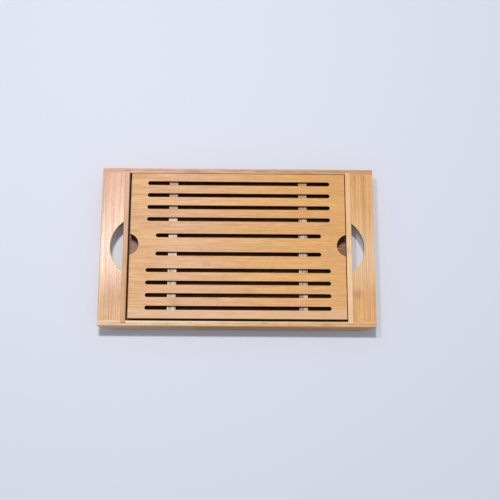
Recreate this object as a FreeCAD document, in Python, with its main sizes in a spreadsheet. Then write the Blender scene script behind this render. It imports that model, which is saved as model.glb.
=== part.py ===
import FreeCAD, Part
import math
import os
import Sketcher

# Bread board: a low bamboo tray with a slotted cutting board lying in its well.
# X runs to the right, Y to the back and Z up, in millimetres. The origin is the middle of the
# tray's underside.

doc = FreeCAD.newDocument("BreadBoard")

# The driving sizes: alias, number, what it measures.
DRIVING_SIZES = (
    ("tray_length", "420", "whole tray, left to right"),
    ("tray_depth", "254", "whole tray, front to back"),
    ("tray_height", "25", "rails, walls and the slotted board's top face"),
    ("rail_thickness", "8", "front and back rails"),
    ("end_curve_run", "27.4", "length of a rail's end that curves up off the table"),
    ("end_curve_rise", "20", "height where that curve meets the end face"),
    ("end_curve_radius", "60", "its arc"),
    ("end_tip_radius", "4", "rounding between the arc and the end face"),
    ("outer_arris", "0.8", "planed outer edges of the tray"),
    ("inner_arris", "0.4", "rounded edges round the well"),
    ("plank_width", "34.8", "end plank, from the end face to the well wall"),
    ("plank_thickness", "12", "end plank"),
    ("wall_thickness", "8", "well wall"),
    ("housing_depth", "4", "recess in a rail that takes the end of a well wall"),
    ("housing_gap", "0.5", "air between the wall's end and the recess"),
    ("hand_hole_radius", "50", "arc of the hand hole"),
    ("hand_hole_reach", "19.3", "how far that arc cuts into the plank"),
    ("hand_hole_shift", "-2", "hand hole, from the middle of the depth"),
    ("floor_level", "5", "underside of the crumb floor"),
    ("floor_thickness", "4", "crumb floor"),
    ("groove_depth", "3.5", "groove that the floor's edge lies in"),
    ("groove_clearance", "0.2", "air over the floor's edge and beyond it"),
    ("gap_left", "2.3", "air left of the slotted board"),
    ("gap_right", "1.2", "air right of it"),
    ("gap_front", "3.4", "air in front of it"),
    ("gap_back", "0.6", "air behind it"),
    ("board_thickness", "8", "slotted board"),
    ("board_arris", "0.4", "planed top edge of the slotted board"),
    ("slot_width", "6.4", "routed slots, which have round ends"),
    ("slot_arris", "0.2", "planed rim of a slot"),
    ("slot_shift", "1", "slots, from the middle of the board's length"),
    ("short_slot_length", "253.5", "the two slots in the middle"),
    ("short_slot_place", "14.75", "from the board's centre line to a short slot"),
    ("long_slot_length", "282", "the slots of the outer groups"),
    ("long_slot_place", "41.15", "from the board's centre line to the first long slot"),
    ("last_slot_inset", "16.45", "from the board's long edge to the last long slot"),
    ("slots_in_group", "4", "long slots on each side of the middle"),
    ("notch_radius", "17.5", "arc of the finger notch"),
    ("notch_reach", "13.5", "how far the notch cuts into the board"),
    ("batten_width", "13", "batten under the board"),
    ("batten_housing", "4", "how deep it is let into the board's underside"),
    ("batten_spacing", "200", "from one batten's centre line to the other's"),
    ("batten_margin", "1", "from the board's edge to a batten's end"),
    ("screw_length", "14", "countersunk wood screw"),
    ("screw_radius", "1.5", "its shank"),
    ("screw_head_radius", "2.9", "its head"),
    ("screw_head_height", "1.6", "the cone under the head"),
    ("screw_recess", "0.2", "how deep the head lies in the batten's face"),
    ("screw_clearance", "0.05", "air round the screw"),
    ("screw_end_gap", "0.5", "air beyond its blunt end"),
    ("screws_in_batten", "3", "screws along one batten"),
    ("cross_width", "0.8", "one bar of the cross in the screw's head"),
    ("cross_length", "3", "the same"),
    ("cross_depth", "0.9", "the same"),
    ("dowel_radius", "3", "wooden dowel"),
    ("dowel_length", "20", "the same"),
    ("dowel_in_rail", "5", "the part of a dowel that is inside the rail"),
    ("dowel_inset", "9", "dowels, from each long edge of the end plank"),
    ("dowel_clearance", "0.05", "glue round a dowel"),
    ("dowel_end_gap", "0.5", "glue space beyond each end of a dowel"),
    ("flute_depth", "0.5", "glue flute along a dowel"),
    ("flute_width", "1", "the same, at its mouth"),
    ("flute_count", "10", "flutes round a dowel"),
)

# Sizes that follow from them.
FOLLOWING_SIZES = (
    ("half_length", "=tray_length / 2", "from the middle to an end face"),
    ("well_length", "=tray_length - 2 * (plank_width + wall_thickness)", "between the well walls"),
    ("well_depth", "=tray_depth - 2 * rail_thickness", "between the rails"),
    ("plank_level", "=tray_height - plank_thickness", "underside of the end planks"),
    ("curve_chord", "=sqrt(end_curve_run ^ 2 + end_curve_rise ^ 2)", "straight across the curved end"),
    ("curve_bow", "=sqrt(end_curve_radius ^ 2 - curve_chord ^ 2 / 4)", "from that chord to the centre"),
    ("curve_centre_in", "=end_curve_run / 2 + curve_bow * end_curve_rise / curve_chord",
     "centre of the curved end, from the end face"),
    ("curve_centre_up", "=end_curve_rise / 2 + curve_bow * end_curve_run / curve_chord",
     "the same, from the table"),
    ("plank_toe", "=curve_centre_in - sqrt(end_curve_radius ^ 2 - (curve_centre_up - plank_level) ^ 2)",
     "from the end face to the plank's underside, along which the curve cuts the plank"),
    ("hand_hole_half", "=sqrt(hand_hole_radius ^ 2 - (hand_hole_radius - hand_hole_reach) ^ 2)",
     "half the straight side of the hand hole"),
    ("groove_top", "=floor_level + floor_thickness + groove_clearance", "top of the floor's groove"),
    ("floor_top", "=floor_level + floor_thickness", "where the battens stand"),
    ("floor_tongue", "=groove_depth - groove_clearance", "the floor's edge inside a groove"),
    ("board_length", "=well_length - gap_left - gap_right", "slotted board, left to right"),
    ("board_depth", "=well_depth - gap_front - gap_back", "slotted board, front to back"),
    ("board_level", "=tray_height - board_thickness", "underside of the slotted board"),
    ("board_x", "=(gap_left - gap_right) / 2", "middle of the slotted board in the tray"),
    ("board_y", "=(gap_front - gap_back) / 2", "the same"),
    ("notch_half", "=sqrt(notch_radius ^ 2 - (notch_radius - notch_reach) ^ 2)", "half the notch's mouth"),
    ("batten_height", "=board_level + batten_housing - floor_top", "from the floor into the board"),
    ("batten_x", "=batten_spacing / 2", "a batten's centre line, from the board's middle"),
    ("slot_pitch", "=(board_depth / 2 - last_slot_inset - long_slot_place) / (slots_in_group - 1)",
     "from one long slot to the next"),
    ("screw_row", "=long_slot_place + (slots_in_group - 1.5) * slot_pitch",
     "outer screws, in the slat between the last two slots"),
    ("screw_in_board", "=screw_length + screw_recess - batten_height", "screw above the batten"),
    ("head_flare", "=(screw_head_radius - screw_radius) / screw_head_height", "slope of the head's cone"),
    ("countersink_radius", "=screw_head_radius + screw_clearance + screw_recess * head_flare",
     "mouth of the cone in the batten's face"),
    ("dowel_level", "=plank_level + plank_thickness / 2", "dowels, halfway up the end plank"),
    ("dowel_y", "=well_depth / 2 + dowel_in_rail - dowel_length / 2", "middle of a dowel"),
    ("outer_dowel_x", "=half_length - dowel_inset", "dowel near the end face"),
    ("inner_dowel_x", "=half_length - plank_width + dowel_inset", "dowel near the well wall"),
)

sheet = doc.addObject("Spreadsheet::Sheet", "Sizes")
for row, (alias, content, meaning) in enumerate(DRIVING_SIZES + FOLLOWING_SIZES, start=1):
    sheet.set(f"A{row}", meaning)
    sheet.set(f"B{row}", content)
    sheet.setAlias(f"B{row}", alias)
doc.recompute()

UP = FreeCAD.Vector(0, 0, 1)
NO_TURN = FreeCAD.Rotation()
HALF_TURN = FreeCAD.Rotation(UP, 180)
FULL_CIRCLE = 360
# How near to a plane counts as on it, where edges are picked by their place.
TOUCHING = 0.01
# Where the dowels of the right end stand across the tray, and the screws along a batten.
DOWEL_PLACES = {"outer": "Sizes.outer_dowel_x", "inner": "Sizes.inner_dowel_x"}
SCREW_ROWS = {"front": "-Sizes.screw_row", "middle": "0", "back": "Sizes.screw_row"}


def size(alias):
    """The number that a cell of the sheet holds."""
    return float(sheet.get(alias))


def value_of(owner, formula):
    """The number that a formula gives, so that a sketch is drawn where its dimensions put it."""
    return float(owner.evalExpression(formula))


def drawn_point(sketch, across, up):
    """The point of a sketch that two formulas give."""
    return FreeCAD.Vector(value_of(sketch, across), value_of(sketch, up))


def new_piece(label, across, back, up, turn=NO_TURN):
    """An empty body with its name and, by three formulas, its place in the tray."""
    body = doc.addObject("PartDesign::Body", label)
    body.Label = label
    body.Placement = FreeCAD.Placement(FreeCAD.Vector(), turn)
    body.setExpression("Placement.Base.x", across)
    body.setExpression("Placement.Base.y", back)
    body.setExpression("Placement.Base.z", up)
    return body


def origin_part(body, role):
    """One plane or axis of a body's own origin."""
    return next(part for part in body.Origin.OriginFeatures if part.Role == role)


def new_sketch(body, name, plane, along_normal="0", across="0"):
    """An empty sketch on an origin plane, moved along the plane's normal and across it."""
    sketch = body.newObject("Sketcher::SketchObject", name)
    sketch.AttachmentSupport = [(origin_part(body, plane), "")]
    sketch.MapMode = "FlatFace"
    sketch.setExpression("AttachmentOffset.Base.z", along_normal)
    sketch.setExpression("AttachmentOffset.Base.x", across)
    return sketch


def add_dimension(sketch, kind, formula, *where):
    """Adds one dimension to a sketch and ties it to a formula."""
    number = sketch.addConstraint(Sketcher.Constraint(kind, *where, value_of(sketch, formula)))
    sketch.setExpression(f"Constraints[{number}]", formula)


def pin_point(sketch, geometry, end, across, up):
    """Ties one point of a sketch to its two distances from the sketch's origin."""
    add_dimension(sketch, "DistanceX", across, -1, 1, geometry, end)
    add_dimension(sketch, "DistanceY", up, -1, 1, geometry, end)


def draw_circle(sketch, across, up, radius):
    """A circle with its centre and radius tied to formulas."""
    centre = drawn_point(sketch, across, up)
    circle = sketch.addGeometry(Part.Circle(centre, UP, value_of(sketch, radius)))
    pin_point(sketch, circle, 3, across, up)
    add_dimension(sketch, "Radius", radius, circle)


def arc_about(centre, radius, first, last):
    """The arc that runs anticlockwise about a centre from one point to another."""
    circle = Part.Circle(centre, UP, radius)
    start, end = (math.atan2(point.y - centre.y, point.x - centre.x) for point in (first, last))
    return Part.ArcOfCircle(circle, start, end if end > start else end + 2 * math.pi)


def bowed_arc(start, end, radius, side):
    """The shorter arc of a radius from start to end, bowed to the left (1) or the right (-1)."""
    run = end - start
    left = FreeCAD.Vector(-run.y, run.x, 0).normalize()
    centre = start + run * 0.5 - left * (side * math.sqrt(radius ** 2 - run.Length ** 2 / 4))
    first, last = (start, end) if side < 0 else (end, start)
    return arc_about(centre, radius, first, last)


def draw_outline(sketch, corners):
    """A closed outline. A corner (across, up) starts a straight side. A corner (across, up, radius,
    side) starts an arc of that radius, bowed to the left (1) or the right (-1) of its way."""
    points = [drawn_point(sketch, corner[0], corner[1]) for corner in corners]
    sides = []
    for corner, start, end in zip(corners, points, points[1:] + points[:1]):
        ends = (1, 2)
        curve = Part.LineSegment(start, end)
        if len(corner) > 2:
            curve = bowed_arc(start, end, value_of(sketch, corner[2]), corner[3])
            ends = (1, 2) if corner[3] < 0 else (2, 1)
        sides.append((sketch.addGeometry(curve), *ends))
    for (number, _, last), (following, first, _) in zip(sides, sides[1:] + sides[:1]):
        sketch.addConstraint(Sketcher.Constraint("Coincident", number, last, following, first))
    for corner, (number, first, _) in zip(corners, sides):
        pin_point(sketch, number, first, corner[0], corner[1])
        if len(corner) > 2:
            add_dimension(sketch, "Radius", corner[2], number)


def draw_slot(sketch, up, length):
    """A slot of the slotted board: its two round ends, then the straight sides between them."""
    radius = "Sizes.slot_width / 2"
    reach = f"({length} - Sizes.slot_width) / 2"
    right, left = f"Sizes.slot_shift + {reach}", f"Sizes.slot_shift - {reach}"
    ends = []
    for middle, start_angle in ((right, -math.pi / 2), (left, math.pi / 2)):
        circle = Part.Circle(drawn_point(sketch, middle, up), UP, value_of(sketch, radius))
        ends.append(sketch.addGeometry(Part.ArcOfCircle(circle, start_angle, start_angle + math.pi)))
        pin_point(sketch, ends[-1], 3, middle, up)
        add_dimension(sketch, "Radius", radius, ends[-1])
    for this, other in (ends, reversed(ends)):
        start, end = sketch.Geometry[this].EndPoint, sketch.Geometry[other].StartPoint
        side = sketch.addGeometry(Part.LineSegment(start, end))
        sketch.addConstraint(Sketcher.Constraint("Tangent", this, 2, side, 1))
        sketch.addConstraint(Sketcher.Constraint("Tangent", side, 2, other, 1))


def rectangle(left, front, right, back):
    """The corners of a rectangle."""
    return [(left, front), (right, front), (right, back), (left, back)]


def extrude(body, kind, name, sketch, length, both_ways=False, turned=False):
    """A Pad or a Pocket of a sketch. A Pocket runs against the sketch's normal unless turned."""
    feature = body.newObject("PartDesign::" + kind, name)
    feature.Profile = sketch
    feature.SideType = "Symmetric" if both_ways else "One side"
    feature.Reversed = turned
    feature.setExpression("Length", length)
    doc.recompute()
    return feature


def spin(body, kind, name, sketch):
    """A Revolution or a Groove of a sketch, all the way round the sketch's upright axis."""
    feature = body.newObject("PartDesign::" + kind, name)
    feature.Profile = sketch
    feature.ReferenceAxis = (sketch, ["V_Axis"])
    feature.Angle = FULL_CIRCLE
    doc.recompute()
    return feature


def set_row(feature, axis, pitch, count):
    """Makes a linear pattern repeat its feature along an axis, at a pitch, a number of times."""
    feature.Direction = (axis, [""])
    feature.Mode = "Spacing"
    feature.setExpression("Offset", pitch)
    feature.setExpression("Occurrences", count)


def repeat_in_row(body, name, original, axis, pitch, count):
    """Repeats a feature along one of the body's axes."""
    feature = body.newObject("PartDesign::LinearPattern", name)
    feature.Originals = [original]
    set_row(feature, origin_part(body, axis), pitch, count)
    body.Tip = feature
    doc.recompute()


def repeat_mirrored(body, name, originals, plane):
    """Repeats features on the other side of one of the body's planes."""
    feature = body.newObject("PartDesign::Mirrored", name)
    feature.Originals = originals
    feature.MirrorPlane = (origin_part(body, plane), [""])
    body.Tip = feature
    doc.recompute()


def dress(body, kind, name, property_name, formula, wanted):
    """A Fillet or a Chamfer on those edges of the body's last feature that are wanted."""
    last = body.Tip
    edges = [f"Edge{number}" for number, edge in enumerate(last.Shape.Edges, start=1)
             if edge.Length > TOUCHING and wanted(edge)]
    feature = body.newObject("PartDesign::" + kind, name)
    feature.Base = (last, edges)
    feature.setExpression(property_name, formula)
    body.Tip = feature
    doc.recompute()


def in_plane(edge, axis, place):
    """Whether an edge lies in the plane where X (0), Y (1) or Z (2) has one value."""
    return all(abs(tuple(point)[axis] - place) < TOUCHING for point in edge.discretize(3))


def add_rail(label, back, turn):
    """A full-length rail, from its outer face at its own y = 0 to its inner face. That takes the
    ends of the well walls, the crumb floor's edge and the end planks' dowels."""
    body = new_piece(label, "0", back, "0", turn)
    outline = new_sketch(body, label + "_side_view", "XZ_Plane")
    foot = "(Sizes.half_length - Sizes.end_curve_run)"
    draw_outline(outline, [
        (f"-{foot}", "0"),
        (foot, "0", "Sizes.end_curve_radius", -1),
        ("Sizes.half_length", "Sizes.end_curve_rise"),
        ("Sizes.half_length", "Sizes.tray_height"),
        ("-Sizes.half_length", "Sizes.tray_height"),
        ("-Sizes.half_length", "Sizes.end_curve_rise", "Sizes.end_curve_radius", -1),
    ])
    extrude(body, "Pad", label + "_stock", outline, "Sizes.rail_thickness", turned=True)

    inner_face = "-Sizes.rail_thickness"
    housing = new_sketch(body, label + "_housing_view", "XZ_Plane", inner_face)
    wall_near, wall_far = "Sizes.well_length / 2", "Sizes.well_length / 2 + Sizes.wall_thickness"
    draw_outline(housing, rectangle(wall_near, "0", wall_far, "Sizes.tray_height"))
    housings = extrude(body, "Pocket", label + "_housing", housing, "Sizes.housing_depth", turned=True)

    centres = new_sketch(body, label + "_dowel_centres", "XZ_Plane", inner_face)
    for place in DOWEL_PLACES.values():
        draw_circle(centres, place, "Sizes.dowel_level", "Sizes.dowel_radius + Sizes.dowel_clearance")
    depth = "Sizes.dowel_in_rail + Sizes.dowel_end_gap"
    holes = extrude(body, "Pocket", label + "_dowel_holes", centres, depth, turned=True)
    repeat_mirrored(body, label + "_other_end", [housings, holes], "YZ_Plane")

    groove = new_sketch(body, label + "_groove_view", "XZ_Plane", inner_face)
    groove_end = "(Sizes.well_length / 2 + Sizes.groove_depth)"
    draw_outline(groove, rectangle(f"-{groove_end}", "Sizes.floor_level", groove_end, "Sizes.groove_top"))
    extrude(body, "Pocket", label + "_groove", groove, "Sizes.groove_depth", turned=True)

    half, top, inner = size("half_length"), size("tray_height"), size("rail_thickness")
    end_faces = (-half, half)
    round_tips(body, label, end_faces)
    dress(body, "Chamfer", label + "_outer_arris", "Size", "Sizes.outer_arris",
          lambda edge: in_plane(edge, 1, 0) or is_end_top(edge, end_faces))

    def is_inner_top(edge):
        over_the_well = abs(edge.CenterOfMass.x) < size("well_length") / 2
        return over_the_well and in_plane(edge, 1, inner) and in_plane(edge, 2, top)

    dress(body, "Fillet", label + "_inner_arris", "Radius", "Sizes.inner_arris", is_inner_top)
    return body


def round_tips(body, label, end_faces):
    """Rounds the corner where the curved end meets each end face."""
    rise = size("end_curve_rise")
    dress(body, "Fillet", label + "_tip", "Radius", "Sizes.end_tip_radius",
          lambda edge: in_plane(edge, 2, rise) and any(in_plane(edge, 0, face) for face in end_faces))


def is_end_top(edge, end_faces):
    """Whether an edge is the top edge of an end face."""
    return in_plane(edge, 2, size("tray_height")) and any(in_plane(edge, 0, face) for face in end_faces)


def add_end_plank(label, across, shift, turn):
    """An end plank, from the end face at its own x = 0 to the well wall. The arc of the hand hole
    is cut in its inner edge, and the well wall closes that hole."""
    body = new_piece(label, across, "0", "0", turn)
    section = new_sketch(body, label + "_section", "XZ_Plane")
    draw_outline(section, [
        ("0", "Sizes.tray_height"),
        ("0", "Sizes.end_curve_rise", "Sizes.end_curve_radius", -1),
        ("Sizes.plank_toe", "Sizes.plank_level"),
        ("Sizes.plank_width", "Sizes.plank_level"),
        ("Sizes.plank_width", "Sizes.tray_height"),
    ])
    extrude(body, "Pad", label + "_stock", section, "Sizes.well_depth", both_ways=True)

    bite = new_sketch(body, label + "_hand_hole_view", "XY_Plane", "Sizes.tray_height")
    draw_outline(bite, [
        ("Sizes.plank_width", f"{shift} + Sizes.hand_hole_half", "Sizes.hand_hole_radius", -1),
        ("Sizes.plank_width", f"{shift} - Sizes.hand_hole_half"),
    ])
    extrude(body, "Pocket", label + "_hand_hole", bite, "Sizes.plank_thickness")

    centres = new_sketch(body, label + "_dowel_centres", "XZ_Plane", "Sizes.well_depth / 2")
    for place in DOWEL_PLACES.values():
        draw_circle(centres, f"Sizes.half_length - {place}", "Sizes.dowel_level",
                    "Sizes.dowel_radius + Sizes.dowel_clearance")
    depth = "Sizes.dowel_length - Sizes.dowel_in_rail + Sizes.dowel_end_gap"
    holes = extrude(body, "Pocket", label + "_dowel_holes", centres, depth)
    repeat_mirrored(body, label + "_other_end", [holes], "XZ_Plane")

    round_tips(body, label, (0,))
    rim_levels = (size("tray_height"), size("plank_level"))
    shortest_rim = size("hand_hole_half")

    def is_rim_or_end(edge):
        on_face = any(in_plane(edge, 2, level) for level in rim_levels)
        is_rim = on_face and edge.Length > shortest_rim and isinstance(edge.Curve, Part.Circle)
        return is_rim or is_end_top(edge, (0,))

    dress(body, "Chamfer", label + "_arris", "Size", "Sizes.outer_arris", is_rim_or_end)
    return body


def add_well_wall(label, across, turn):
    """A well wall, from its outer face at its own x = 0 to the well. The crumb floor's edge lies in
    its groove, and its ends sit in the rails' housings."""
    body = new_piece(label, across, "0", "0", turn)
    section = new_sketch(body, label + "_section", "XZ_Plane")
    groove_floor = "Sizes.wall_thickness - Sizes.groove_depth"
    draw_outline(section, [
        ("0", "0"),
        ("Sizes.wall_thickness", "0"),
        ("Sizes.wall_thickness", "Sizes.floor_level"),
        (groove_floor, "Sizes.floor_level"),
        (groove_floor, "Sizes.groove_top"),
        ("Sizes.wall_thickness", "Sizes.groove_top"),
        ("Sizes.wall_thickness", "Sizes.tray_height"),
        ("0", "Sizes.tray_height"),
    ])
    length = "Sizes.well_depth + 2 * (Sizes.housing_depth - Sizes.housing_gap)"
    extrude(body, "Pad", label + "_stock", section, length, both_ways=True)
    inner, top = size("wall_thickness"), size("tray_height")
    dress(body, "Fillet", label + "_arris", "Radius", "Sizes.inner_arris",
          lambda edge: in_plane(edge, 0, inner) and in_plane(edge, 2, top))
    return body


def add_crumb_floor():
    """The thin panel that closes the well, held by its edges in the grooves."""
    panel = doc.addObject("Part::Box", "crumb_floor")
    panel.Label = "crumb_floor"
    length = "Sizes.well_length + 2 * Sizes.floor_tongue"
    depth = "Sizes.well_depth + 2 * Sizes.floor_tongue"
    for name, formula in (
        ("Length", length),
        ("Width", depth),
        ("Height", "Sizes.floor_thickness"),
        ("Placement.Base.x", f"-({length}) / 2"),
        ("Placement.Base.y", f"-({depth}) / 2"),
        ("Placement.Base.z", "Sizes.floor_level"),
    ):
        panel.setExpression(name, formula)
    return panel


def inner_rims(shape, level):
    """The edges of the openings in a shape's face at one level."""
    face = next(face for face in shape.Faces if all(in_plane(edge, 2, level) for edge in face.Edges))
    return [edge for wire in face.Wires if not wire.isSame(face.OuterWire) for edge in wire.Edges]


def add_slotted_board():
    """The cutting board: ten round-ended slots that let crumbs through, a finger notch in each end,
    and underneath two housings for the battens, with blind holes for their screws. Its own z = 0 is
    its underside."""
    body = new_piece("slotted_board", "Sizes.board_x", "Sizes.board_y", "Sizes.board_level")
    half_length, half_depth = "Sizes.board_length / 2", "Sizes.board_depth / 2"
    outline = new_sketch(body, "board_view", "XY_Plane")
    draw_outline(outline, [
        (f"-{half_length}", f"-{half_depth}"),
        (half_length, f"-{half_depth}"),
        (half_length, "-Sizes.notch_half", "Sizes.notch_radius", 1),
        (half_length, "Sizes.notch_half"),
        (half_length, half_depth),
        (f"-{half_length}", half_depth),
        (f"-{half_length}", "Sizes.notch_half", "Sizes.notch_radius", 1),
        (f"-{half_length}", "-Sizes.notch_half"),
    ])
    extrude(body, "Pad", "board_stock", outline, "Sizes.board_thickness")
    top = size("board_thickness")
    dress(body, "Chamfer", "board_arris", "Size", "Sizes.board_arris", lambda edge: in_plane(edge, 2, top))

    short = new_sketch(body, "short_slot_view", "XY_Plane", "Sizes.board_thickness")
    draw_slot(short, "Sizes.short_slot_place", "Sizes.short_slot_length")
    short_slot = extrude(body, "Pocket", "short_slot", short, "Sizes.board_thickness")
    repeat_mirrored(body, "short_slots", [short_slot], "XZ_Plane")

    long = new_sketch(body, "long_slot_view", "XY_Plane", "Sizes.board_thickness")
    draw_slot(long, "Sizes.long_slot_place", "Sizes.long_slot_length")
    long_slot = extrude(body, "Pocket", "long_slot", long, "Sizes.board_thickness")
    group = body.newObject("PartDesign::MultiTransform", "long_slots")
    one_side = doc.addObject("PartDesign::LinearPattern", "long_slots_in_group")
    set_row(one_side, origin_part(body, "Y_Axis"), "Sizes.slot_pitch", "Sizes.slots_in_group")
    other_side = doc.addObject("PartDesign::Mirrored", "long_slots_mirrored")
    other_side.MirrorPlane = (origin_part(body, "XZ_Plane"), [""])
    group.Originals = [long_slot]
    group.Transformations = [one_side, other_side]
    body.Tip = group
    doc.recompute()
    rims = inner_rims(group.Shape, top)
    dress(body, "Chamfer", "slot_arris", "Size", "Sizes.slot_arris",
          lambda edge: any(edge.isSame(rim) for rim in rims))

    housings = new_sketch(body, "batten_housing_view", "XY_Plane")
    half_width = "Sizes.batten_width / 2"
    for middle in ("-Sizes.batten_x", "Sizes.batten_x"):
        left, right = f"{middle} - {half_width}", f"{middle} + {half_width}"
        draw_outline(housings, rectangle(left, f"-{half_depth}", right, half_depth))
    extrude(body, "Pocket", "batten_housings", housings, "Sizes.batten_housing", turned=True)

    centres = new_sketch(body, "screw_centres", "XY_Plane", "Sizes.batten_housing")
    for side in ("-", ""):
        for row in SCREW_ROWS.values():
            draw_circle(centres, f"{side}Sizes.batten_x", row, "Sizes.screw_radius + Sizes.screw_clearance")
    depth = "Sizes.screw_in_board + Sizes.screw_end_gap"
    extrude(body, "Pocket", "screw_holes", centres, depth, turned=True)
    return body


def add_batten(label, across):
    """A batten across the slats, let into the slotted board's underside, with countersunk holes for
    its screws. The slots show its top."""
    body = new_piece(label, across, "Sizes.board_y", "Sizes.floor_top")
    outline = new_sketch(body, label + "_view", "XY_Plane")
    half_length = "(Sizes.board_depth / 2 - Sizes.batten_margin)"
    half_width = "Sizes.batten_width / 2"
    draw_outline(outline, rectangle(f"-{half_width}", f"-{half_length}", half_width, half_length))
    extrude(body, "Pad", label + "_stock", outline, "Sizes.batten_height")

    section = new_sketch(body, label + "_hole_section", "YZ_Plane", across=SCREW_ROWS["front"])
    shank_radius = "Sizes.screw_radius + Sizes.screw_clearance"
    draw_outline(section, [
        ("0", "0"),
        ("Sizes.countersink_radius", "0"),
        (shank_radius, "Sizes.screw_recess + Sizes.screw_head_height"),
        (shank_radius, "Sizes.batten_height"),
        ("0", "Sizes.batten_height"),
    ])
    hole = spin(body, "Groove", label + "_hole", section)
    repeat_in_row(body, label + "_holes", hole, "Y_Axis", "Sizes.screw_row", "Sizes.screws_in_batten")
    return body


def add_screw(label, across, row):
    """A countersunk screw with a blunt end that points up, from the flat of its head at its own
    z = 0."""
    body = new_piece(label, across, f"Sizes.board_y + {row}", "Sizes.floor_top + Sizes.screw_recess")
    section = new_sketch(body, label + "_section", "XZ_Plane")
    draw_outline(section, [
        ("0", "0"),
        ("Sizes.screw_head_radius", "0"),
        ("Sizes.screw_radius", "Sizes.screw_head_height"),
        ("Sizes.screw_radius", "Sizes.screw_length"),
        ("0", "Sizes.screw_length"),
    ])
    spin(body, "Revolution", label + "_blank", section)

    cross = new_sketch(body, label + "_cross_view", "XY_Plane")
    near, far = "Sizes.cross_width / 2", "Sizes.cross_length / 2"
    corners = []
    for across_sign, up_sign in (("", ""), ("-", ""), ("-", "-"), ("", "-")):
        three = [(far, near), (near, near), (near, far)]
        if across_sign != up_sign:
            three.reverse()
        corners += [(across_sign + across_arm, up_sign + up_arm) for across_arm, up_arm in three]
    draw_outline(cross, corners)
    extrude(body, "Pocket", label + "_cross", cross, "Sizes.cross_depth", turned=True)
    return body


def add_dowel(label, across, back):
    """A fluted wooden dowel that runs front to back, from its own middle."""
    body = new_piece(label, across, back, "Sizes.dowel_level")
    end_view = new_sketch(body, label + "_end_view", "XZ_Plane")
    draw_circle(end_view, "0", "0", "Sizes.dowel_radius")
    extrude(body, "Pad", label + "_stock", end_view, "Sizes.dowel_length", both_ways=True)
    flute_view = new_sketch(body, label + "_flute_view", "XZ_Plane")
    draw_outline(flute_view, [
        ("Sizes.dowel_radius - Sizes.flute_depth", "0"),
        ("Sizes.dowel_radius + Sizes.flute_depth", "-Sizes.flute_width"),
        ("Sizes.dowel_radius + Sizes.flute_depth", "Sizes.flute_width"),
    ])
    flute = extrude(body, "Pocket", label + "_flute", flute_view, "Sizes.dowel_length", both_ways=True)
    flutes = body.newObject("PartDesign::PolarPattern", label + "_flutes")
    flutes.Originals = [flute]
    flutes.Axis = (origin_part(body, "Y_Axis"), [""])
    flutes.Angle = FULL_CIRCLE
    flutes.setExpression("Occurrences", "Sizes.flute_count")
    body.Tip = flutes
    doc.recompute()
    return body


pieces = [
    add_rail("front_rail", "-Sizes.tray_depth / 2", NO_TURN),
    add_rail("back_rail", "Sizes.tray_depth / 2", HALF_TURN),
    add_end_plank("left_end_plank", "-Sizes.half_length", "Sizes.hand_hole_shift", NO_TURN),
    add_end_plank("right_end_plank", "Sizes.half_length", "-Sizes.hand_hole_shift", HALF_TURN),
    add_well_wall("left_well_wall", "-Sizes.half_length + Sizes.plank_width", NO_TURN),
    add_well_wall("right_well_wall", "Sizes.half_length - Sizes.plank_width", HALF_TURN),
    add_crumb_floor(),
    add_slotted_board(),
]
for hand, side in (("left", "-"), ("right", "")):
    batten_x = f"Sizes.board_x + {side}Sizes.batten_x"
    pieces.append(add_batten(hand + "_batten", batten_x))
    for row_name, row in SCREW_ROWS.items():
        pieces.append(add_screw(f"{hand}_{row_name}_screw", batten_x, row))
    for end_name, end in (("front", "-"), ("back", "")):
        for place_name, place in DOWEL_PLACES.items():
            label = f"{end_name}_{hand}_{place_name}_dowel"
            pieces.append(add_dowel(label, side + place, end + "Sizes.dowel_y"))

doc.recompute()
for thing in doc.Objects:
    if {"Invalid", "Error"} & set(thing.State):
        raise RuntimeError(f"{thing.Label} could not be worked out: {thing.State}")
for piece in pieces:
    if piece.Shape.isNull() or not piece.Shape.isValid() or not piece.Shape.Solids:
        raise RuntimeError(f"{piece.Label} has no sound shape")

os.makedirs("parts", exist_ok=True)
for piece in pieces:
    piece.Shape.exportStep(f"parts/{piece.Label}.step")
    box = piece.Shape.optimalBoundingBox(False, False)
    print(f"{piece.Label:24} {box.XLength:6.1f} x {box.YLength:6.1f} x {box.ZLength:6.1f} mm")
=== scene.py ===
import math

import bpy
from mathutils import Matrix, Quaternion, Vector

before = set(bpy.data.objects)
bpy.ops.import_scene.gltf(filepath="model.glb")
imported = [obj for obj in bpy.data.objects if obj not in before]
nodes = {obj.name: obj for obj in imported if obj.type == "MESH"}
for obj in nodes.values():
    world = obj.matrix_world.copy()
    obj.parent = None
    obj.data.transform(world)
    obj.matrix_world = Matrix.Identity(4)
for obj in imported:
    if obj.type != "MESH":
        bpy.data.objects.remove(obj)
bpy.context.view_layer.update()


# Front and back rails: two full-length laths of solid bamboo, their ends planed to a curve
# underneath. Each is glued up from strips that run along it, then sanded and oiled. The end
# planks are dowelled to them and the well walls are let into them.

# A length in metres times this is in millimetres, as every size of a finish is.
MILLIMETRES = 1000.0


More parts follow.
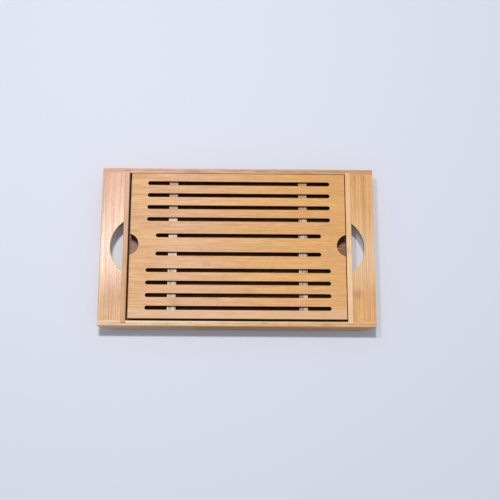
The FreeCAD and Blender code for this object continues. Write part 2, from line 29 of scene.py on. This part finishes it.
class Signal:
    """One output of a finish's nodes. Arithmetic with it adds Math nodes."""

    def __init__(self, finish, socket):
        self.finish = finish
        self.socket = socket

    def math(self, operation, *others):
        """One Math node with this signal first."""
        values = dict(enumerate((self, *others)))
        return self.finish.add("ShaderNodeMath", {"operation": operation}, values)

    def __add__(self, other):
        return self.math("ADD", other)

    __radd__ = __add__

    def __sub__(self, other):
        return self.math("SUBTRACT", other)

    def __rsub__(self, other):
        return self.finish.add("ShaderNodeMath", {"operation": "SUBTRACT"}, {0: other, 1: self})

    def __mul__(self, other):
        return self.math("MULTIPLY", other)

    __rmul__ = __mul__

    def __truediv__(self, other):
        return self.math("DIVIDE", other)

    def __rtruediv__(self, other):
        return self.finish.add("ShaderNodeMath", {"operation": "DIVIDE"}, {0: other, 1: self})

    def __abs__(self):
        return self.math("ABSOLUTE")

    def share(self):
        """The signal, cut off at 0 and 1."""
        return self.math("MAXIMUM", 0.0).math("MINIMUM", 1.0)

    def bell(self, width):
        """1 where the signal is 0, falling to 1/e where it is the width: e to the minus square."""
        ratio = self / width
        return (ratio * ratio * -1.0).math("EXPONENT")

    def step(self, low, high):
        """0 below low and 1 above high, smooth between; the other way round if low is the higher."""
        if low > high:
            return 1.0 - self.step(high, low)
        settings = {"interpolation_type": "SMOOTHSTEP"}
        inputs = {"Value": self, "From Min": low, "From Max": high}
        return self.finish.add("ShaderNodeMapRange", settings, inputs)


class Finish:
    """A material in the making: its nodes, and the shader that they feed."""

    def __init__(self, name, **shader):
        self.material = bpy.data.materials.new(name)
        self.material.use_nodes = True
        self.tree = self.material.node_tree
        self.shader = self.tree.nodes["Principled BSDF"]
        for socket, value in shader.items():
            self.shader.inputs[socket.replace("_", " ")].default_value = value

    def add(self, kind, settings=None, inputs=None, output=0):
        """One node: its type, its settings, and the values or links of its sockets."""
        node = self.tree.nodes.new(kind)
        for name, value in (settings or {}).items():
            setattr(node, name, value)
        for key, value in (inputs or {}).items():
            self.feed(node.inputs[key], value)
        return Signal(self, node.outputs[output])

    def feed(self, socket, value):
        """Links a signal to a socket, or sets a plain value on it."""
        if isinstance(value, Signal):
            self.tree.links.new(value.socket, socket)
        else:
            socket.default_value = value

    def paint(self, socket, value):
        """Feeds one socket of the shader."""
        self.feed(self.shader.inputs[socket], value)

    def parts_of(self, vector):
        """The three numbers of a vector."""
        return [self.add("ShaderNodeSeparateXYZ", None, {0: vector}, number) for number in range(3)]

    def vector(self, *values):
        """A vector from three numbers."""
        return self.add("ShaderNodeCombineXYZ", None, dict(enumerate(values)))

    def place(self):
        """Where the point lies on the object, in millimetres."""
        metres = self.add("ShaderNodeTexCoord", output="Object")
        inputs = {0: metres, "Scale": MILLIMETRES}
        return self.parts_of(self.add("ShaderNodeVectorMath", {"operation": "SCALE"}, inputs))

    def facing(self):
        """How much the face looks along each axis, without sign."""
        return [abs(part) for part in self.parts_of(self.add("ShaderNodeTexCoord", output="Normal"))]

    def noise(self, *place, detail=2.0):
        """Cloudy noise, stretched so that it spreads about evenly over -1 to 1."""
        inputs = {"Vector": self.vector(*place), "Scale": 1.0, "Detail": detail}
        return (self.add("ShaderNodeTexNoise", None, inputs) - 0.5) * 4.0

    def mix(self, share, first, second):
        """The first colour where the share is 0, the second where it is 1."""
        return self.add("ShaderNodeMix", {"data_type": "RGBA"}, {0: share, 6: first, 7: second}, 2)

    def give_to(self, *names):
        """Puts the material on CAD nodes."""
        for name in names:
            nodes[name].material_slots[0].material = self.material


def srgb(red, green, blue):
    """A colour as it looks on screen, 0 to 255, as the linear colour that a shader takes."""
    linear = []
    for number in (red, green, blue):
        light = number / 255
        linear.append(light / 12.92 if light <= 0.04045 else ((light + 0.055) / 1.055) ** 2.4)
    return (*linear, 1.0)


def box_of(name):
    """The low and the high corner of a CAD node, in millimetres."""
    points = [vertex.co for vertex in nodes[name].data.vertices]
    low = Vector([min(point[axis] for point in points) for axis in range(3)])
    high = Vector([max(point[axis] for point in points) for axis in range(3)])
    return low * MILLIMETRES, high * MILLIMETRES


class Bamboo(Finish):
    """Glued strips of bamboo whose fibres run along axis 0 (X) or 1 (Y).

    A strip's number is its place across the grain over its width, rounded down, and the same up the
    piece. Chance gives each number its tone. Streaks are noise stretched along the grain. Each
    length of cane has a knuckle: a short band of dark flecks about one place, a bell curve along
    the grain.
    """

    # How thick each kind of streak or fleck is across the grain, and how long along it where the
    # piece doesn't say, in millimetres.
    HAIR = 1.3
    STREAK = 3.6
    FIBRE, FIBRE_RUN = 0.7, 5.0
    FLUSH, FLUSH_RUN = 2.2, 16.0
    FLECK, FLECK_RUN = 0.8, 1.6
    CLOUD, CLOUD_RUN = 12.0, 30.0
    WAVER, WAVER_RUN = 3.0, 30.0

    # The length of cane between two knuckles, how far a knuckle spreads, and half a glue line.
    CANE = 230.0
    KNUCKLE = 2.2
    GLUE_LINE = 0.22

    # The joints between layers lie this share of a layer lower, so that no flat face is on one.
    LAYER_DROP = 0.02

    REDDISH = srgb(232, 168, 132)
    DARK_STREAK = srgb(164, 108, 62)
    KNUCKLE_BROWN = srgb(140, 88, 50)
    FLECK_BROWN = srgb(150, 92, 50)
    GLUE_BROWN = srgb(150, 96, 56)
    END_WOOD = srgb(186, 134, 86)
    END_PORE = srgb(112, 70, 38)
    EASED_EDGE_AND_HIGHLIGHT = srgb(246, 212, 166)

    def __init__(self, name, grain, strip, seed, pale, honey, roughness=0.5, contrast=1.0, run=22.0,
                 gloss=0.3):
        """A strip has a width and a height, and the run is how far its streaks go on."""
        super().__init__(name, Roughness=roughness, Specular_IOR_Level=gloss)
        self.x, self.y, self.z = x, y, z = self.place()
        self.faces = self.facing()
        along, across = (x, y) if grain == 0 else (y, x)

        # Each strip has its own tone, its own tint, and its own stretch of streaks.
        width, height = strip
        cell = across / width + seed
        layer = z / height + self.LAYER_DROP
        number = self.vector(cell.math("FLOOR"), layer.math("FLOOR"), seed)
        chance = self.add("ShaderNodeTexWhiteNoise", None, {"Vector": number}, "Color")
        tone, tint, shift = self.parts_of(chance)
        start = shift * 40.0

        # Streaks of three kinds and soft clouds lie between the pale and the honey colour.
        hair = self.noise(along / run + start, across / self.HAIR, z / self.HAIR)
        streak = self.noise(along / (run * 3.0) + start, across / self.STREAK, z / self.STREAK)
        fibre = self.noise(along / self.FIBRE_RUN + start, across / self.FIBRE, z / self.FIBRE)
        cloud = self.noise(along / self.CLOUD_RUN, across / self.CLOUD, z / self.CLOUD + seed,
                           detail=1.0)
        depth = (tone - 0.5) * 0.4 + hair * 0.45 + streak * 0.25 + fibre * 0.25 + cloud * 0.15
        wood = self.mix((depth * contrast + 0.45).share(), pale, honey)

        # Some streaks are reddish, and the deepest are dark.
        flush = self.noise(along / self.FLUSH_RUN + start, across / self.FLUSH, z / self.FLUSH + 9.0)
        wood = self.mix((flush * 0.8 + tint - 0.4).share() * 0.45, wood, self.REDDISH)
        deepest = (hair * 0.5 + fibre * 0.3 + streak * 0.2).step(0.4, 0.9)
        wood = self.mix((deepest * 0.45 * contrast).share(), wood, self.DARK_STREAK)

        # A knuckle is a wavering band, strong in some strips and missing in others.
        waver = self.noise(along / self.WAVER_RUN, across / self.WAVER, z / self.WAVER, detail=1.0)
        from_knuckle = ((along / self.CANE + tint * 7.0).math("FRACT") - 0.5) * self.CANE + waver * 1.5
        strong = shift.step(0.6, 0.95)
        self.fleck = self.noise(along / self.FLECK_RUN, across / self.FLECK, z / self.FLECK, detail=1.0)
        knuckle = from_knuckle.bell(self.KNUCKLE) * strong * (self.fleck * 0.7 + 0.4).share()
        wood = self.mix(knuckle * 0.6, wood, self.KNUCKLE_BROWN)

        # The glue line is where a point is half a strip away from the strip's middle.
        from_middle = abs(cell.math("FRACT") - 0.5) * width
        glue = from_middle.step(width / 2 - self.GLUE_LINE, width / 2)
        wood = self.mix(glue * 0.22, wood, self.GLUE_BROWN)

        # End grain shows the pores. The eased edges are painted paler than the faces beside them:
        # partly sanded wood, partly a painted highlight along the rims.
        end_face = self.faces[grain].step(0.5, 0.9)
        pores = {"Vector": self.vector(0.0, across / self.FLECK, z / self.FLECK), "Scale": 1.0}
        dots = self.add("ShaderNodeTexVoronoi", None, pores)
        end_wood = self.mix(dots.step(0.45, 0.15) * 0.6, self.END_WOOD, self.END_PORE)
        wood = self.mix(end_face, wood, end_wood)
        # Painted highlight: the chamfers are painted pale, as rims that catch the light and as sanded
        # wood.
        eased_and_highlight = abs(self.faces[2] - 0.7).step(0.28, 0.12)
        self.wood = self.mix(eased_and_highlight * 0.7, wood, self.EASED_EDGE_AND_HIGHLIGHT)

        self.paint("Roughness", roughness + fibre * 0.04 + hair * 0.03 + end_face * 0.25)
        relief = fibre * 0.15 + hair * 0.12 - glue * 0.4 - knuckle * 0.5
        inputs = {"Strength": 0.5, "Distance": 0.0001, "Height": relief}
        self.paint("Normal", self.add("ShaderNodeBump", None, inputs))

    def mark(self, share, colour):
        """Lays a colour over the wood, as much as the share says."""
        self.wood = self.mix(share, self.wood, colour)

    def knot(self, x, y, long, wide, strength):
        """A knuckle at one place: dark flecks in an oval, a bell curve both ways."""
        oval = (self.x - x).bell(long) * (self.y - y).bell(wide)
        self.mark(oval * (self.fleck * 0.6 + 0.45).share() * strength, self.FLECK_BROWN)

    def give_to(self, *names):
        """Paints the wood and puts it on CAD nodes."""
        self.paint("Base Color", self.wood)
        super().give_to(*names)


# Where the rails and the well walls have their faces, from the middle of the tray.
low, high = box_of("front_rail")
OUTER_FACE, INNER_FACE = -low.y, -high.y
low, high = box_of("left_well_wall")
WALL_OUTSIDE, WALL_INSIDE, WALL_END = -low.x, -high.x, high.y
WALL_MIDDLE = (WALL_OUTSIDE + WALL_INSIDE) / 2
WALL_HALF = (WALL_OUTSIDE - WALL_INSIDE) / 2

# A strip's width across the grain, and its height.
RAIL_STRIP = (2.7, 12.5)

# Knuckles: the middle along X and Y, and how far it spreads along X. Across, all spread alike.
RAIL_KNOTS = ((40.5, -122.0, 6.0), (133.6, -124.4, 7.0))
RAIL_KNOT_WIDTH = 2.5

# How far from the middle a rail has turned to the colour of its right end and to the painted sheen
# of its left end, and how far along it the painted highlight on its inner edge goes from full to none.
COLOUR_RUN = 250.0
EDGE_HIGHLIGHT_RUN = 400.0

# Near black: real scorch on sawn and routed faces, and painted shade on faces down in the gaps.
SCORCH_AND_SHADE = srgb(40, 20, 9)
OUTER_FACE_SHADE = srgb(104, 80, 36)
EDGE_HIGHLIGHT = srgb(255, 232, 200)

for name, seed, pale, honey, left_sheen, right_colour in (
    ("front_rail", 3.0, srgb(242, 197, 144), srgb(202, 147, 92),
     srgb(252, 220, 190), srgb(226, 172, 108)),
    ("back_rail", 5.0, srgb(216, 168, 130), srgb(170, 124, 86),
     srgb(240, 188, 168), srgb(188, 140, 68)),
):
    rail = Bamboo(f"oiled_{name}", 0, RAIL_STRIP, seed, pale, honey, contrast=2.3, run=30.0)
    from_middle_x = abs(rail.x)
    from_middle_y = abs(rail.y)
    side_face = rail.faces[1].step(0.8, 0.95)

    # Painted shade: the outside face is painted darker, as shade on the face turned from the light. The
    # inside, along the well, is painted near black as shade in the gap.
    outside = side_face * from_middle_y.step(OUTER_FACE - 0.5, OUTER_FACE - 0.1)
    rail.mark(outside * 0.5, OUTER_FACE_SHADE)
    # Painted shade: the inner face beside the well is painted near black.
    inside = side_face * from_middle_y.step(OUTER_FACE - 0.6, OUTER_FACE - 1.0)
    rail.mark(inside * from_middle_x.step(WALL_OUTSIDE + 2.8, WALL_OUTSIDE + 0.8), SCORCH_AND_SHADE)

    # Dirt sits at the front ends of the well walls. The front rail's edge over the gap has a painted
    # highlight, strongest on the left, and its corner beside the gap is painted dark as shade.
    wall_ends = (rail.y + (WALL_END + 0.7)).bell(0.6) * (from_middle_x - WALL_MIDDLE).bell(WALL_HALF)
    rail.mark(wall_ends * 0.8, SCORCH_AND_SHADE)
    beside_well = from_middle_x.step(WALL_INSIDE + 0.8, WALL_INSIDE - 1.2)
    # Painted highlight: a pale band along the front rail's inner edge.
    edge = (rail.y + (INNER_FACE + 1.6)).bell(1.5) * beside_well
    rail.mark(edge * (0.5 - rail.x / EDGE_HIGHLIGHT_RUN), EDGE_HIGHLIGHT)
    # Painted shade: a dark line along the front rail's inner corner over the gap.
    rail.mark((rail.y + (INNER_FACE + 0.2)).bell(0.5) * beside_well, SCORCH_AND_SHADE)

    rail.mark((rail.x / COLOUR_RUN).share() * 0.6, right_colour)
    # Painted sheen: the left end is paler and pinker, as under the lamp's glare.
    rail.mark((rail.x / -COLOUR_RUN).share() * 0.5, left_sheen)
    for x, y, long in RAIL_KNOTS:
        rail.knot(x, y, long, RAIL_KNOT_WIDTH, 0.7)
    rail.give_to(name)


# End planks: the two handles, glued up from strips that run front to back and dowelled between the
# rails. The arc of the hand hole is sawn in the inner edge: the upper rim of the cut is scorched, the
# rest of the cut is raw and painted pale, which is also painted light on its shade, and the underside
# is raw.

low, high = box_of("right_end_plank")
TRAY_END = high.x
PLANK_TOP = high.z
PLANK_UNDERSIDE = low.z

PLANK_STRIP = (8.7, 12.0)
PLANK_GLOSS = 0.16

# Along Y: how far the left plank takes to turn from plain to reddish, from where to where its pale
# front end comes in, and the middle and the spread of the pale stretch of wear and painted sheen.
REDDISH_RUN = 240.0
FRONT_START, FRONT_FULL = -78.0, -112.0
WEAR_AND_SHEEN_MIDDLE, WEAR_AND_SHEEN_SPREAD = -12.0, 55.0

# How thick and how long the stripes of the planks are.
STRIPE, STRIPE_RUN = 1.5, 160.0

# Knuckles: the middle along X and Y, how far it spreads along them, and how strong it is.
PLANK_KNOTS = (
    (183.0, -76.0, 8.0, 8.0, 1.0),
    (182.4, 113.0, 0.9, 4.0, 1.4),
    (196.4, 113.0, 0.9, 4.0, 1.4),
)

BLUSH = srgb(202, 140, 120)
FRONT_PALE = srgb(244, 200, 150)
WEAR_AND_SHEEN_PALE = srgb(246, 212, 174)
STRIPE_BROWN = srgb(172, 116, 76)
RAW_AND_LIT_CUT = srgb(240, 226, 208)
RAW_UNDERSIDE = srgb(250, 232, 206)

for name, seed, pale, honey, roughness, contrast, blushed, wear_and_sheen, striped in (
    ("left_end_plank", 11.0, srgb(226, 172, 112), srgb(178, 124, 72), 0.19, 1.9, 0.45, 0.2, 0.5),
    ("right_end_plank", 13.0, srgb(240, 184, 118), srgb(208, 150, 84), 0.45, 1.4, 0.0, 0.5, 0.2),
):
    plank = Bamboo(f"oiled_{name}", 1, PLANK_STRIP, seed, pale, honey, roughness, contrast, run=90.0,
                   gloss=PLANK_GLOSS)

    # The left plank is reddish at the back and pale in front. Both are paler in the middle from wear by
    # hands, and on the left plank the pale stretch is also a painted sheen under the lamp's glare.
    plank.mark((plank.y / REDDISH_RUN + 0.5).share() * blushed, BLUSH)
    plank.mark(plank.y.step(FRONT_START, FRONT_FULL) * blushed, FRONT_PALE)
    # Painted sheen and wear: a pale stretch in the middle of each plank.
    plank.mark((plank.y - WEAR_AND_SHEEN_MIDDLE).bell(WEAR_AND_SHEEN_SPREAD) * wear_and_sheen, WEAR_AND_SHEEN_PALE)
    stripe = plank.noise(plank.x / STRIPE, plank.y / STRIPE_RUN, plank.z / STRIPE, detail=0.0)
    plank.mark(stripe.step(0.1, 0.7) * striped, STRIPE_BROWN)

    cut = plank.faces[2].step(0.35, 0.2) * abs(plank.x).step(TRAY_END - 2.0, TRAY_END - 4.0)
    # Painted light: the cut face below the scorched rim is painted pale, lifting its shade.
    plank.mark(cut * 0.9, RAW_AND_LIT_CUT)
    plank.mark(cut * plank.z.step(PLANK_TOP - 6.0, PLANK_TOP - 4.5) * 0.9, SCORCH_AND_SHADE)
    plank.mark(plank.z.step(PLANK_UNDERSIDE + 1.0, PLANK_UNDERSIDE + 0.2) * 0.7, RAW_UNDERSIDE)
    for knot in PLANK_KNOTS:
        plank.knot(*knot)
    plank.give_to(name)


# Well walls: thin upright laths, let into the rails, that close the hand holes and the ends of the
# well. Inside they are painted near black as shade in the gap, like the rails; the left wall's inner
# edge is painted dark the same way, and dark joints run along their outer edges.

# The strips of all pieces from here on are as high as the tray.
FULL_HEIGHT = 25.0
WALL_STRIP = (4.0, FULL_HEIGHT)
WALL_GLOSS = 0.08
WALL_HONEY = srgb(240, 182, 122)
JOINT_BROWN = srgb(140, 92, 56)

# Over this length the painted shade along the left wall's inner edge would get 1 mm broader, from
# front to back.
EDGE_SLANT = 400.0

# The stretches of a wall with another colour: from where to where it comes in along Y, how much of
# it there is, and the colour.
for name, seed, pale, honey, stretches in (
    ("left_well_wall", 17.0, srgb(228, 181, 134), srgb(200, 149, 102),
     ((-25.0, 0.0, 0.6, srgb(226, 178, 146)), (45.0, 65.0, 0.5, srgb(232, 186, 160)))),
    ("right_well_wall", 19.0, srgb(255, 223, 174), srgb(246, 198, 148),
     ((10.0, 28.0, 0.5, WALL_HONEY), (70.0, 105.0, 0.6, WALL_HONEY),
      (-85.0, -100.0, 0.5, srgb(240, 192, 136)))),
):
    wall = Bamboo(f"oiled_{name}", 1, WALL_STRIP, seed, pale, honey, run=60.0, gloss=WALL_GLOSS)
    for start, end, share, colour in stretches:
        wall.mark(wall.y.step(start, end) * share, colour)

    # Painted shade: the inner face, down in the gap beside the board, is painted near black.
    inner_face = wall.faces[0].step(0.8, 0.95) * abs(wall.x).step(WALL_INSIDE + 0.3, WALL_INSIDE + 0.1)
    wall.mark(inner_face, SCORCH_AND_SHADE)
    beside_well = abs(wall.y).step(INNER_FACE + 0.5, INNER_FACE - 0.5)
    # Painted shade: a dark band along the left wall's inner edge, broader towards the back.
    left_gap_shade = (wall.x + (WALL_INSIDE + 0.3) + wall.y / EDGE_SLANT).bell(0.7)
    wall.mark(left_gap_shade * beside_well, SCORCH_AND_SHADE)
    wall.mark((abs(wall.x) - WALL_OUTSIDE).bell(0.5) * 0.6, JOINT_BROWN)
    wall.give_to(name)


# Crumb floor: a thin panel in grooves, which catches what falls through the slots. It is darker
# bamboo with a smooth coat of lacquer, which makes it easy to wipe.

FLOOR_STRIP = (20.0, FULL_HEIGHT)

panel = Bamboo("crumb_panel", 0, FLOOR_STRIP, 23.0, srgb(150, 94, 50), srgb(118, 68, 34),
               roughness=0.36, gloss=0.18)
panel.give_to("crumb_floor")


# Slotted board: the cutting board that lies in the well. Long flat staves are glued edge to edge,
# and ten slots and two finger notches are routed through them. The cutter has scorched the sides
# of the slots and notches, and the board's outer edges are painted nearly as dark, as painted shade
# in the gaps around it.

low, high = box_of("slotted_board")
BOARD_LEFT = low.x
BOARD_MIDDLE = (low + high) / 2
BOARD_HALF = (high - low) / 2

STAVE = 19.8
BOARD_STRIP = (STAVE, FULL_HEIGHT)

# The joint behind the frontmost stave, which is a paler one.
FRONT_JOINT = -5 * STAVE

# Knuckles: the middle along X and Y, and how far it spreads along them.
BOARD_KNOTS = (
    (-47.7, -31.2, 5.0, 5.0), (-14.8, -49.0, 7.0, 4.0), (17.6, -73.6, 8.0, 3.0),
    (-93.6, -90.8, 6.0, 6.0), (126.9, 26.6, 4.0, 8.0), (124.6, -1.8, 3.0, 7.0),
    (141.7, -9.8, 5.0, 5.0), (115.6, 41.2, 4.0, 5.0),
)

# Over these lengths along X and Y the honey colour grows by its full share. Then from where to
# where the back right corner gets deeper still, and the middle and spread of the pink painted sheen.
HONEY_RUN_X, HONEY_RUN_Y = 320.0, 400.0
CORNER_X, CORNER_Y = (60.0, 165.0), (60.0, 112.0)
PINK_SHEEN_MIDDLE, PINK_SHEEN_SPREAD = -80.0, 80.0

# How thick and how long the tinted streaks and the dashes are.
TINT, TINT_RUN = 2.6, 45.0
DASH, DASH_RUN = 1.4, 26.0

BOARD_HONEY = srgb(223, 158, 78)
CORNER_HONEY = srgb(216, 150, 72)
BOARD_PINK_SHEEN = srgb(220, 174, 164)
FRONT_STAVE_PALE = srgb(246, 210, 176)
YELLOW_TINT = srgb(228, 184, 108)
RED_TINT = srgb(238, 174, 136)
PALE_DASH = srgb(252, 216, 172)
DARK_DASH = srgb(186, 126, 76)

board = Bamboo("oiled_board", 0, BOARD_STRIP, 29.0, srgb(237, 183, 111), srgb(201, 141, 73),
               contrast=1.5, run=50.0)
x, y, z = board.x, board.y, board.z
for knot in BOARD_KNOTS:
    board.knot(*knot, 0.8)

# The board is yellower towards the right and the back. On the left a paler pink stretch is a
# painted sheen, and the left edge is painted dark as shade in the gap.
board.mark(((x / HONEY_RUN_X + 0.45) * (y / HONEY_RUN_Y + 1.0)).share() * 0.68, BOARD_HONEY)
board.mark(x.step(*CORNER_X) * y.step(*CORNER_Y) * 0.5, CORNER_HONEY)
# Painted sheen: paler and pinker on the left, as under the glare.
board.mark((x - PINK_SHEEN_MIDDLE).bell(PINK_SHEEN_SPREAD) * 0.3, BOARD_PINK_SHEEN)
board.mark(y.step(FRONT_JOINT + 0.5, FRONT_JOINT - 1.0) * 0.35, FRONT_STAVE_PALE)
# Painted shade: a dark line along the left edge, over the gap.
board.mark((x - (BOARD_LEFT + 0.1)).bell(0.4), SCORCH_AND_SHADE)

tint = board.noise(x / TINT_RUN, y / TINT, z / TINT + 7.0, detail=1.0)
board.mark(tint.step(0.0, 0.9) * 0.25, YELLOW_TINT)
board.mark(tint.step(0.0, -0.9) * 0.35, RED_TINT)
dash = board.noise(x / DASH_RUN, y / DASH, z / DASH, detail=1.0)
board.mark(dash.step(0.2, 1.0) * 0.3, PALE_DASH)
board.mark(dash.step(-0.2, -1.0) * 0.3, DARK_DASH)

# Scorch on the slot and notch sides; on the outer edges the dark is painted shade.
upright = board.faces[2].step(0.35, 0.2)
in_from_ends = abs(x - BOARD_MIDDLE.x).step(BOARD_HALF.x - 0.25, BOARD_HALF.x - 0.75)
in_from_sides = abs(y - BOARD_MIDDLE.y).step(BOARD_HALF.y - 0.2, BOARD_HALF.y - 0.7)
board.mark(upright * (in_from_ends * in_from_sides * 0.2 + 0.8), SCORCH_AND_SHADE)
board.give_to("slotted_board")


# Battens: two laths screwed across the slats under the slotted board, of raw pale bamboo whose
# bundles of fibres show as lines. Their back thirds are browner.

BATTEN_STRIP = (7.0, FULL_HEIGHT)

# How thick and how long the bundles of fibres are, and from where to where along Y the browner back
# comes in.
BUNDLE, BUNDLE_RUN = 1.7, 60.0
BACK_START, BACK_FULL = 48.0, 56.0

BUNDLE_BROWN = srgb(170, 120, 80)
BACK_BROWN = srgb(196, 138, 96)

for name, seed, pale, honey, lined in (
    ("left_batten", 31.0, srgb(255, 244, 218), srgb(238, 208, 168), 0.6),
    ("right_batten", 37.0, srgb(244, 212, 180), srgb(206, 162, 126), 0.95),
):
    batten = Bamboo(f"raw_{name}", 1, BATTEN_STRIP, seed, pale, honey)
    bundle = batten.noise(batten.x / BUNDLE, batten.y / BUNDLE_RUN, batten.z / BUNDLE, detail=0.0)
    batten.mark(bundle.step(0.0, 0.5) * lined, BUNDLE_BROWN)
    batten.mark(batten.y.step(BACK_START, BACK_FULL) * 0.75, BACK_BROWN)
    batten.give_to(name)


# Screws: six small countersunk screws of zinc-plated steel, three up into the slotted board from
# each batten. The plating is mottled.

SCREW_NAMES = [f"{hand}_{row}_screw"
               for hand in ("left", "right") for row in ("front", "middle", "back")]
MOTTLE = 0.7
ZINC_GREY = srgb(176, 178, 182)
ZINC_LIGHT = srgb(206, 204, 198)

zinc = Finish("zinc_plate", Metallic=1.0, Roughness=0.35)
x, y, z = zinc.place()
mottle = zinc.noise(x / MOTTLE, y / MOTTLE, z / MOTTLE)
zinc.paint("Base Color", zinc.mix((mottle * 0.5 + 0.5).share(), ZINC_GREY, ZINC_LIGHT))
zinc.give_to(*SCREW_NAMES)


# Dowels: fluted beech pins, glued, two in each joint between an end plank and a rail. Beech shows
# short dark rays along the grain.

DOWEL_NAMES = [f"{end}_{hand}_{place}_dowel"
               for end in ("front", "back")
               for hand in ("left", "right")
               for place in ("outer", "inner")]
RAY, RAY_RUN = 0.4, 6.0
BEECH_PALE = srgb(214, 172, 130)
BEECH_RAY = srgb(190, 142, 100)

beech = Finish("beech_dowel", Roughness=0.6)
x, y, z = beech.place()
rays = beech.noise(x / RAY, y / RAY_RUN, z / RAY)
beech.paint("Base Color", beech.mix((rays * 0.5 + 0.5).share(), BEECH_PALE, BEECH_RAY))
beech.give_to(*DOWEL_NAMES)


# Table: a plain top with a smooth matt surface of a very pale grey, where the tray stands on its
# rails and walls. It is so wide that its edges are out of the picture. Its half width is in metres.

TABLE_COLOUR = srgb(222, 223, 230)
TABLE_HALF = 4.0

table_mesh = bpy.data.meshes.new("table")
corners = [(x * TABLE_HALF, y * TABLE_HALF, 0.0) for x, y in ((-1, -1), (1, -1), (1, 1), (-1, 1))]
table_mesh.from_pydata(corners, [], [(0, 1, 2, 3)])
table = bpy.data.objects.new("table", table_mesh)
bpy.context.scene.collection.objects.link(table)
surface = Finish("table_top", Roughness=0.6)
surface.paint("Base Color", TABLE_COLOUR)
table_mesh.materials.append(surface.material)


# Light: a window far behind gives the shadow in front, a ceiling lamp nearer by on the left gives
# the faint shadow on the right and the glare on the left end plank, and a pale room gives the rest.

# Each lamp: its name, its place and the side of its square in metres, and its power in watts.
LAMPS = (("window", (-0.23, 2.95, 7.4), 0.7, 257.0), ("ceiling_lamp", (-0.36, 0.45, 1.4), 0.12, 4.5))

for name, place, side, power in LAMPS:
    lamp_data = bpy.data.lights.new(name, "AREA")
    lamp_data.size = side
    lamp_data.energy = power
    lamp = bpy.data.objects.new(name, lamp_data)
    lamp.location = place
    lamp.rotation_euler = (-Vector(place)).to_track_quat("-Z", "Y").to_euler()
    bpy.context.scene.collection.objects.link(lamp)

ROOM_COLOUR = (0.9, 0.97, 1.12, 1.0)
ROOM_STRENGTH = 0.43

world = bpy.data.worlds.new("room")
world.use_nodes = True
background = world.node_tree.nodes["Background"]
background.inputs["Color"].default_value = ROOM_COLOUR
background.inputs["Strength"].default_value = ROOM_STRENGTH
bpy.context.scene.world = world


# Camera: above the front edge, looking steeply down, turned a little about its own axis. Its place
# and target are in metres, its lens and sensor in millimetres.

CAMERA_PLACE = Vector((-0.00654, -0.60391, 1.81665))
CAMERA_TARGET = Vector((0.0196, 0.0017, 0.0))
CAMERA_ROLL = math.radians(2.75)
CAMERA_LENS = 88.92
CAMERA_SENSOR = 36.0

camera_data = bpy.data.cameras.new("camera")
camera_data.sensor_width = CAMERA_SENSOR
camera_data.lens = CAMERA_LENS
camera = bpy.data.objects.new("camera", camera_data)
camera.location = CAMERA_PLACE
aim = (CAMERA_TARGET - CAMERA_PLACE).to_track_quat("-Z", "Y")
camera.rotation_mode = "QUATERNION"
camera.rotation_quaternion = aim @ Quaternion((0, 0, 1), CAMERA_ROLL)
bpy.context.scene.collection.objects.link(camera)
bpy.context.scene.camera = camera
bpy.context.scene.view_settings.view_transform = "Standard"
